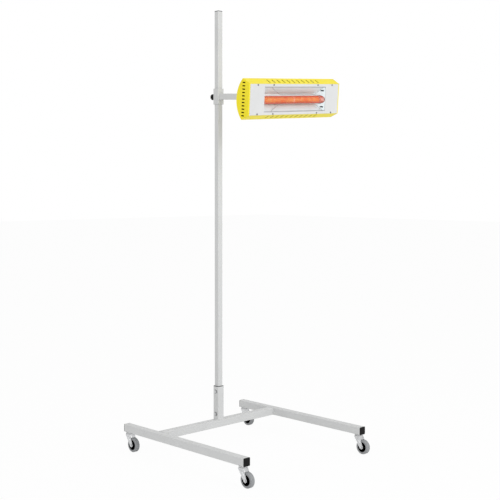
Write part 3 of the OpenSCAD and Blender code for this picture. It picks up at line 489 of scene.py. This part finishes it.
def make_coil_support():
    """A ring round the coil at the tube's middle, with three nubs; its glow is painted light from the coil.
    """
    shape = Shape()
    x, radius = -1, 16.4
    ring = [(15.6, -3.2), (17.1, -2.6), (17.1, 2.6), (15.6, 3.2), (15.5, 0)]
    shape.lathe(ring, (x, TUBE_Y, TUBE_Z), (1, 0, 0), 40)
    for i in range(3):
        a = math.radians(90 + 120 * i)
        c = (x, TUBE_Y + radius * math.cos(a), TUBE_Z + radius * math.sin(a))
        shape.lathe([(0, -4.2), (0.8, -3.8), (0.8, 3.8), (0, 4.2)], c, (1, 0, 0), 10)
    shape.made("coil_support", "lamp_head", "glow_ring", CASING)


# Welds

def bead(shape, path, lean, leg=2.2, seed=0):
    """Rippled fillet weld along points; lean points out of the corner that it fills."""
    lean = Vector(lean).normalized()
    points = [Vector(p) for p in path]
    spaced = []
    for a, b in zip(points, points[1:]):
        n = max(2, int((b - a).length / 0.8))
        spaced += [a.lerp(b, k / n) for k in range(n)]
    spaced.append(points[-1])
    rings = []
    for i, p in enumerate(spaced):
        t = (spaced[min(i + 1, len(spaced) - 1)] - spaced[max(i - 1, 0)]).normalized()
        side = t.cross(lean).normalized()
        end = min(i, len(spaced) - 1 - i)
        ripple = 1 + 0.10 * abs(math.sin(i * 1.25)) + 0.07 * hashed(i // 3, seed)
        swell = (0.55 + 0.45 * min(1, end / 2.5)) * leg * ripple
        rings.append([p + swell * (math.sin(a) * side + math.cos(a) * 0.8 * lean)
                      for a in (math.radians(d) for d in (-112, -75, -45, -15, 15, 45, 75, 112))])
    shape.rings(rings)


def make_welds():
    """Beads of the base and its socket, of the sleeve with arm and weld nut, and of the arm's end plate."""
    y, half = MAST_Y, HALF_TUBE
    stand = Shape()
    for s in (-1, 1):
        x = s * (HALF_TRACK - HALF_TUBE)
        for e in (-1, 1):
            bead(stand, [(x, y + e * half, 104), (x, y + e * half, 136)], (-s, e, 0), 2.4, 3 + s + e)
        bead(stand, [(x, y - 15, 139.6), (x, y + 15, 139.6)], (-s * 0.2, 0, 1), 2.4, 11 + s)
        bead(stand, [(x, y - 15, 100.6), (x, y + 15, 100.6)], (-s * 0.2, 0, -1), 2.0, 15 + s)
        bead(stand, [(s * half, y - 15, 140), (s * half, y + 15, 140)], (s, 0, 1), 2.4, 21 + s)
        bead(stand, [(-15, y + s * 19, 139.4), (15, y + s * 19, 139.4)], (0, s, 0.35), 2.2, 31 + s)
    stand.made("stand_welds", "stand", "paint")

    carriage = Shape()
    r, base = HALF_MAST, -HALF_TUBE
    stretch = 1.002  # of the drooping arm's section, where it meets the sleeve
    drop = base * math.tan(ARM_DROOP)
    sides = (((-12, r), (12, r), (0, 1)), ((r, 12), (r, -12), (1, 0)),
             ((12, -r), (-12, -r), (0, -1)), ((-r, -12), (-r, 12), (-1, 0)))
    for k, (start, end, out) in enumerate(sides):
        edge = [(x, MAST_Y + base, SLEEVE_Z + z * stretch + drop) for x, z in (start, end)]
        bead(carriage, edge, (out[0], -1, out[1]), 2.3, 2 * k)
    nut_r = 9.6
    for i in (0, 2, 4):  # every other side of the weld nut
        start, mid, end = (math.radians(60 * i + d) for d in (2, 30, 58))
        arc = [(nut_r * math.cos(a), MAST_Y + HALF_TUBE, SLEEVE_Z + nut_r * math.sin(a))
               for a in (start, mid, end)]
        bead(carriage, arc, (math.cos(mid), 1, math.sin(mid)), 1.6, 40 + i)
    carriage.made("carriage_welds", "carriage", "paint")

    tip = Shape()
    plate_y = -403.5
    for k in range(4):
        a = math.radians(90 * k)
        c, s = math.cos(a), math.sin(a)
        edge = [(13 * c + e * 11 * s, plate_y, 13 * s - e * 11 * c) for e in (-1, 1)]
        bead(tip, edge, (0, -1, 0), 1.2, 60 + k)
    tip.made("arm_end_welds", "carriage", "weld", ARM)


# Screws, bolts and knobs

def pan_head(shape, centre, out, side):
    """Cross-recessed pan head that stands on centre."""
    radius, height, arm, slot, depth = 4.0, 1.9, 2.4, 0.55, 1.2
    out, side = Vector(out).normalized(), Vector(side).normalized()
    other = out.cross(side)
    centre = Vector(centre)
    cross = []
    for k in range(4):
        for x, y in ((slot, slot), (slot, arm * 0.55), (slot, arm),
                     (0, arm), (-slot, arm), (-slot, arm * 0.55)):
            a = math.pi / 2 * k
            cross.append((x * math.cos(a) - y * math.sin(a), x * math.sin(a) + y * math.cos(a)))
    count = len(cross)
    start_angle = math.atan2(cross[0][1], cross[0][0])

    def ring(r, h):
        return [centre + h * out + r * (math.cos(a) * side + math.sin(a) * other)
                for a in (start_angle + 2 * math.pi * k / count for k in range(count))]

    def cross_ring(scale, h):
        return [centre + h * out + scale * (x * side + y * other) for x, y in cross]

    crown = [ring(radius * r, height * h) for r, h in ((1, 0), (1, 0.35), (0.93, 0.72), (0.8, 0.92))]
    recess = [cross_ring(k, height - depth * d) for k, d in ((1.0, 0), (0.7, 1), (0.1, 1.1))]
    shape.rings(crown + recess)


def make_plate_screws():
    """Eight cross-recessed screws with their shanks, each turned its own way."""
    shape = Shape()
    plate_len, z = 618, 68
    for s in (-1, 1):
        for i, share in enumerate((-0.42, -0.25, 0.25, 0.42)):
            x = share * plate_len
            a = math.radians(20 + 37 * i + 50 * s)
            pan_head(shape, (x, 0, s * z), (0, -1, 0), (math.cos(a), 0, math.sin(a)))
            shape.lathe([(2, 0), (2, 7), (1.2, 8)], (x, 0, s * z), (0, 1, 0), 14)
    screws = shape.made("cross_head_screws", "lamp_head", "screw", CASING)
    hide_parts("plate_screws")


def thread(shape, centre, axis, radius, length, pitch):
    """Ridge of a screw thread round a bolt's end."""
    axis = Vector(axis).normalized()
    u = axis.orthogonal().normalized()
    v = axis.cross(u)
    centre = Vector(centre)
    steps = 18
    n = int(length / pitch * steps)
    path = []
    for i in range(n + 1):
        a = 2 * math.pi * i / steps
        around = math.cos(a) * u + math.sin(a) * v
        path.append(centre + axis * (pitch * i / steps) + (radius - pitch * 0.06) * around)
    shape.tube(path, pitch * 0.3, 5)


def bolt_face(shape, centre, out, af, rise=0.45):
    """Chamfered crown on a hexagon head or nut."""
    crown = [(af * 0.5, -0.2), (af * 0.49, rise * 0.4), (af * 0.42, rise), (0.2, rise)]
    shape.lathe(crown, centre, out, 36)


def nut_face(shape, centre, out, af, bore, rise=0.4):
    """Chamfered ring on a nut's outer face, open round the bolt."""
    crown = [(bore + 0.25, -0.2), (bore + 0.25, rise * 0.5), (bore + 0.8, rise),
             (af * 0.43, rise), (af * 0.49, rise * 0.35), (af * 0.5, -0.2)]
    shape.lathe(crown, centre, out, 36)


def make_bolt_details():
    """Crowns, chamfers, threads, dark rings round the socket bolts and knob caps, each on the body of its
    bolt.
    """
    stand = Shape()
    head_x, nut_x = -HALF_TUBE - WASHER - M8_HEAD, HALF_TUBE + WASHER + M8_NUT
    for z in SOCKET_BOLT_Z:
        bolt_face(stand, (head_x, MAST_Y, z), (-1, 0, 0), M8_ACROSS)
        nut_face(stand, (nut_x, MAST_Y, z), (1, 0, 0), M8_ACROSS, 4)
        thread(stand, (nut_x, MAST_Y, z), (1, 0, 0), 4, 2.7, 1.25)
    stand.made("socket_bolt_details", "stand", "zinc")

    # thin dark rings round the socket bolts' washers, on both faces of the socket
    socket_dark_rings = Shape()
    lip = [(8.2, 0.02), (9.4, 0.02), (9.5, 0.5), (9.3, 0.95), (8.2, 0.95)]
    for z in SOCKET_BOLT_Z:
        for s in (-1, 1):
            socket_dark_rings.lathe(lip, (s * HALF_TUBE, MAST_Y, z), (s, 0, 0), 40)
    socket_dark_rings.made("socket_bolt_dark_rings", "stand", "seal")

    for corner in CASTORS:
        low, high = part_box(corner + "_axle")
        cy, cz = (low.y + high.y) * 500, (low.z + high.z) * 500
        side = 1 if corner.endswith("right") else -1
        head_x = side * (HALF_TRACK + FORK_HALF + M8_HEAD)
        nut_x = side * (HALF_TRACK - FORK_HALF - M8_NUT)
        shape = Shape()
        bolt_face(shape, (head_x, cy, cz), (side, 0, 0), M8_ACROSS, 0.25)
        nut_face(shape, (nut_x, cy, cz), (-side, 0, 0), M8_ACROSS, 4)
        thread(shape, (nut_x, cy, cz), (-side, 0, 0), 4, 2.6, 1.25)
        shape.made(corner + "_axle_details", corner + "_swivel", "zinc")

    clamp = Shape()
    thread(clamp, (0, MAST_Y + 28.2, SLEEVE_Z), (0, 1, 0), 5, 2.6, 1.5)
    clamp.made("clamp_thread", "clamp_screw_body", "zinc")

    head = Shape()
    for x in (-34, 34):
        bolt_face(head, (x, BACK_Y + 3 + 3.9, 0), (0, 1, 0), 9.9)
    head.made("bracket_bolt_details", "lamp_head", "zinc", CASING)

    yoke = Shape()
    bolt_face(yoke, (-27 - 6.5, 0, 0), (-1, 0, 0), 16.5)
    yoke.made("tilt_bolt_details", "yoke_body", "zinc", YOKE)

    clamp_face = MAST_Y + HALF_TUBE + 29
    for name, body, place, centre, out, size in (
        ("clamp_knob_cap", "clamp_knob_body", None, (0, clamp_face, SLEEVE_Z), (0, 1, 0), 9.5),
        ("tilt_knob_cap", "tilt_knob_body", YOKE, (49.4, 0, 0), (1, 0, 0), 12.0),
    ):
        cap = Shape()
        dish = [(size, -0.4), (size, 0.3), (size - 0.8, 0.9), (size - 2.2, 0.9), (size - 2.8, 0.35),
                (size * 0.4, 0.35), (size * 0.3, 0.8), (0.3, 0.9)]
        cap.lathe(dish, centre, out, 40)
        cap.made(name, body, "black_plastic", place)


# Castors

def make_castors():
    """Hub ribs, tread lines, fork flanges and dark rings of painted shadow at the swivel races, measured
    from each castor's own solids.
    """
    rim = [(24.2, 10.6), (25.6, 11.3), (26.4, 11.1), (26.6, 10.4), (24.2, 10.2)]
    boss = [(4.4, 12.9), (7.4, 12.9), (8.7, 12.2), (9.3, 10.4), (8.6, 10.2), (4.4, 10.2)]
    for corner in CASTORS:
        low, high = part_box(corner + "_tyre")
        cx, cy, cz = ((low[i] + high[i]) * 500 for i in range(3))
        wheel = Shape()
        for s in (-1, 1):
            for k in range(8):
                a = 2 * math.pi * k / 8
                u = Vector((0, math.cos(a), math.sin(a)))
                w = Vector((0, -math.sin(a), math.cos(a)))
                rings = []
                for r, h, t in ((8.6, 9.8, 1.3), (14, 8.6, 1.1), (22.4, 9.6, 1.3)):
                    c = Vector((cx, cy, cz)) + r * u
                    root, edge = Vector((s * 2.9, 0, 0)), Vector((s * h, 0, 0))
                    rings.append([c + root - t * 1.15 * w, c + root + t * 1.15 * w,
                                  c + edge + t * w, c + edge - t * w])
                wheel.rings(rings)
            wheel.lathe(rim, (cx, cy, cz), (s, 0, 0), 56)
            wheel.lathe(boss, (cx, cy, cz), (s, 0, 0), 32)
        wheel.made(corner + "_hub_ribs", corner + "_wheel", "black_plastic")

        tread = Shape()
        tread.lathe([(37.2, -0.5), (37.47, 0), (37.2, 0.5)], (cx, cy, cz), (1, 0, 0), 72)
        for s in (-1, 1):
            tread.lathe([(31.2, 11.7), (31.8, 12.18), (32.6, 11.7)], (cx, cy, cz), (s, 0, 0), 64)
        tread.made(corner + "_tread_lines", corner + "_wheel", "grey_rubber")

        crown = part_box(corner + "_fork")[1].z * 1000
        crown_low = crown - 4.5
        stem_low, stem_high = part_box(corner + "_stem")
        sx, sy = (stem_low.x + stem_high.x) * 500, (stem_low.y + stem_high.y) * 500
        axle_y = sy - CASTOR_TRAIL
        flange = [(sy + 17, crown_low - 2.5), (axle_y + 9.4, 33.6), (axle_y + 4.5, 28.6), (axle_y, 27.5),
                  (axle_y - 4.5, 28.6), (axle_y - 9.4, 33.6), (axle_y - 10, 38)]
        steps = (0, 0.12, 0.3, 0.5, 0.7, 0.88, 1)
        swell = (0.4, 1.7, 2.3, 2.5, 2.3, 1.7, 0.4)
        swivel = Shape()
        for s in (-1, 1):
            x = sx + s * (FORK_HALF - 0.1)
            swivel.tube([(x, y, z) for y, z in flange], 1.15, 8)
            rib = [(x + s * 0.1, sy - 4 - 20 * t, crown_low - 9 - 22 * t) for t in steps]
            swivel.tube(rib, lambda i: swell[i], 10)
        swivel.made(corner + "_fork_flanges", corner + "_swivel", "zinc")

        # painted shadow: a dark ring at the swivel race, standing in for the shade in the gap above the
        # fork
        seal = Shape()
        lip = [(19.4, -2.2), (20.7, -2.2), (20.7, -0.2), (19.4, -0.2)]
        seal.lathe(lip, (sx, sy, crown + 2.1), (0, 0, 1), 48)
        seal.made(corner + "_race_shadow_ring", "stand", "seal")


# Casing details

def casing_outline():
    """Depth and height of the casing's outer section, from one plate edge round the back to the other."""
    edge = PLATE_TOP + 0.75
    top = math.asin(RIDGE_Z / BACK_RADIUS)
    angles = [top * (1 - k / 24) for k in range(1, 48)]
    back = [(BACK_Y - BACK_RADIUS + BACK_RADIUS * math.cos(a), BACK_RADIUS * math.sin(a)) for a in angles]
    return [(SHEET, edge), (RIDGE_Y, RIDGE_Z)] + back + [(RIDGE_Y, -RIDGE_Z), (SHEET, -edge)]


def make_casing_edges():
    """Rolled sheet edges: round both end panels, and along the folds of the shell; and a thin dark line of
    painted shadow in the gap round each end panel.
    """
    outline = casing_outline()
    shape = Shape()
    for s in (-1, 1):
        x = s * (CASING_END - 0.6)
        shape.tube([(x, d - 0.35 if d > 40 else d, z * 0.997) for d, z in outline], 0.75, 8)
    for z in (RIDGE_Z, -RIDGE_Z):
        fold = [((CASING_END - 1) * (k / 6 - 1), RIDGE_Y - 0.1, z * 0.9965) for k in range(13)]
        shape.tube(fold, 0.7, 8)
    shape.made("casing_edges", "lamp_head", "yellow_paint", CASING)

    # painted shadow: a thin dark line just inside each end panel's edge, standing in for the shade in the
    # gap there
    shadow_gap = Shape()
    for s in (-1, 1):
        x = s * (CASING_END - 1.9)
        shadow_gap.tube([(x, d - 0.05 if d > 40 else d, z * 0.9992) for d, z in outline], 0.18, 6)
    shadow_gap.made("casing_shadow_gaps", "lamp_head", "seal", CASING)


def make_slot_rims():
    """Pressed rims round the slots of both end panels."""
    half_w, half_len, pitch, n = 3.05, 9.8, 15.4, 7
    rim = []
    for end, start in ((1, 0), (-1, math.pi)):
        for k in range(n + 1):
            a = start + math.pi * k / n
            rim.append((half_w * math.cos(a), end * (half_len - half_w) + half_w * math.sin(a)))
    shape = Shape()
    for s in (-1, 1):
        for i in range(-5, 6):
            path = [(s * (CASING_END + 0.05), RIDGE_Y - 8.75 + y, i * pitch + x) for x, y in rim]
            shape.tube(path, 0.35, 6, closed=True)
    shape.made("slot_rims", "lamp_head", "yellow_paint", CASING)


def rounded(half_w, half_h, r, n=5):
    """Outline of a rectangle with rounded corners, as x and z."""
    points = []
    for quarter, (sx, sz) in enumerate(((1, 1), (-1, 1), (-1, -1), (1, -1))):
        for k in range(n + 1):
            a = math.radians(90 * quarter + 90 * k / n)
            points.append((sx * (half_w - r) + r * math.cos(a), sz * (half_h - r) + r * math.sin(a)))
    return points


def make_plate_edge():
    """Folded lip round the window and the outer edge of the front plate."""
    shape = Shape()
    shape.tube([(x, 0.55, z) for x, z in rounded(309, PLATE_TOP, 2)], 0.5, 8, closed=True)
    shape.tube([(x, 0.7, z) for x, z in rounded(215, 60, 2)], 0.7, 8, closed=True)
    shape.made("plate_edges", "lamp_head", "plate_paint", CASING)


def make_switch_marks():
    """The bar and ring of an on-off switch, raised on the slanted faces of its rocker."""
    rocker = Matrix.Translation(mm(CASING_END - 4, 63, 20)) @ Matrix.Rotation(math.radians(7), 4, "Y")
    marks = Shape()
    bar_z, ring_z = 7.6, -7.4
    bar_x, ring_x = (5.5 + abs(z) * 1.5 / 12 + 0.05 for z in (bar_z, ring_z))
    marks.tube([(bar_x + k * 0.25, 0, bar_z + k * 2.2) for k in (-1, 0, 1)], 0.42, 6)
    turns = [2 * math.pi * k / 20 for k in range(20)]
    ring = [(ring_x + 0.12 * math.cos(a), 2.0 * math.sin(a), ring_z - 2.0 * math.cos(a)) for a in turns]
    marks.tube(ring, 0.36, 6, closed=True)
    marks.made("switch_marks", "power_rocker", "mark_white", CASING @ rocker)


def make_guard_wires():
    """Two bent wires in front of the tube, their ends on the trough's rims."""
    shape = Shape()
    path = [(-170, 3.2, 61), (-166, 3.4, 58), (-142, 9, 44), (-124, 8, 33), (-110, 6.5, 25)]
    path += [(-98, 6, 22.5)] + [(x, 6, 22) for x in range(-80, 121, 20)]
    path += [(134, 6, 22.5), (148, 7, 26), (172, 9, 38), (198, 4.4, 55), (203, 3.2, 61)]
    for s in (-1, 1):
        shape.tube([(x, y, s * z) for x, y, z in path], 1.0, 8)
    shape.made("guard_wires", "lamp_head", "steel", CASING)


def make_reflector_details():
    """Folded hems at the trough's mouth and the spot welds of its ends."""
    shape = Shape()
    for s in (-1, 1):
        shape.tube([(-216 + 432 * k / 10, 2.1, s * 61.2) for k in range(11)], 0.6, 8)
        for x in (-150, -50, 50, 150):
            shape.lathe([(0, 0.45), (1.6, 0.3), (2.3, 0)], (x, 44.9, s * 17), (0, -1, 0), 16)
    shape.made("reflector_hems", "lamp_head", "reflector_sheet", CASING)


# Stage

WORLD_LEVEL = 0.67


def make_world():
    """White where it is seen, mirrored or seen through, and WORLD_LEVEL for its light."""
    world = bpy.data.worlds.new("world")
    scene.world = world
    world.use_nodes = True
    tree = world.node_tree
    background = tree.nodes["Background"]
    background.inputs["Color"].default_value = (1, 1, 1, 1)
    path = tree.nodes.new("ShaderNodeLightPath")
    seen = tree.nodes.new("ShaderNodeMath")
    seen.operation = "ADD"
    seen.use_clamp = True
    tree.links.new(path.outputs["Is Camera Ray"], seen.inputs[0])
    tree.links.new(path.outputs["Is Glossy Ray"], seen.inputs[1])
    more = tree.nodes.new("ShaderNodeMath")
    more.operation = "ADD"
    more.use_clamp = True
    tree.links.new(seen.outputs[0], more.inputs[0])
    tree.links.new(path.outputs["Is Transmission Ray"], more.inputs[1])
    level = tree.nodes.new("ShaderNodeMapRange")
    level.inputs["To Min"].default_value = WORLD_LEVEL
    level.inputs["To Max"].default_value = 1.0
    tree.links.new(more.outputs[0], level.inputs["Value"])
    tree.links.new(level.outputs["Result"], background.inputs["Strength"])


def make_floor():
    """Nearly white to the camera and in mirrors, with a little of the soft shadow left."""
    material = bpy.data.materials.new("floor")
    material.use_nodes = True
    tree = material.node_tree
    tree.nodes.clear()
    out = tree.nodes.new("ShaderNodeOutputMaterial")
    diffuse = tree.nodes.new("ShaderNodeBsdfDiffuse")
    diffuse.inputs["Color"].default_value = (0.9, 0.9, 0.9, 1)
    emission = tree.nodes.new("ShaderNodeEmission")
    emission.inputs["Color"].default_value = (1, 1, 1, 1)
    path = tree.nodes.new("ShaderNodeLightPath")
    either = tree.nodes.new("ShaderNodeMath")
    either.operation = "MAXIMUM"
    tree.links.new(path.outputs["Is Camera Ray"], either.inputs[0])
    tree.links.new(path.outputs["Is Glossy Ray"], either.inputs[1])
    share = tree.nodes.new("ShaderNodeMath")
    share.operation = "MULTIPLY"
    share.inputs[1].default_value = 0.95
    tree.links.new(either.outputs[0], share.inputs[0])
    mix = tree.nodes.new("ShaderNodeMixShader")
    tree.links.new(share.outputs[0], mix.inputs[0])
    tree.links.new(diffuse.outputs[0], mix.inputs[1])
    tree.links.new(emission.outputs[0], mix.inputs[2])
    tree.links.new(mix.outputs[0], out.inputs["Surface"])
    mesh = bpy.data.meshes.new("floor")
    mesh.from_pydata([(-30, -30, 0), (30, -30, 0), (30, 30, 0), (-30, 30, 0)], [], [(0, 1, 2, 3)])
    mesh.materials.append(material)
    floor = bpy.data.objects.new("floor", mesh)
    scene.collection.objects.link(floor)


def make_lamp(name, place, target, size, power):
    data = bpy.data.lights.new(name, "AREA")
    data.shape = "DISK"
    data.size = size
    data.energy = power
    lamp = bpy.data.objects.new(name, data)
    lamp.location = place
    lamp.rotation_euler = (Vector(target) - Vector(place)).to_track_quat("-Z", "Y").to_euler()
    scene.collection.objects.link(lamp)


make_camera()
dress_frame()
make_coil()
make_coil_support()
make_welds()
make_plate_screws()
make_bolt_details()
make_castors()
make_casing_edges()
make_slot_rims()
make_plate_edge()
make_switch_marks()
make_guard_wires()
make_reflector_details()
make_world()
make_floor()
make_lamp("key", (0.2, -5.4, 2.9), (0, 0, 1.2), 3.0, 122)
make_lamp("fill", (-5.5, -1.0, 2.6), (0, 0, 1.3), 3.5, 50)
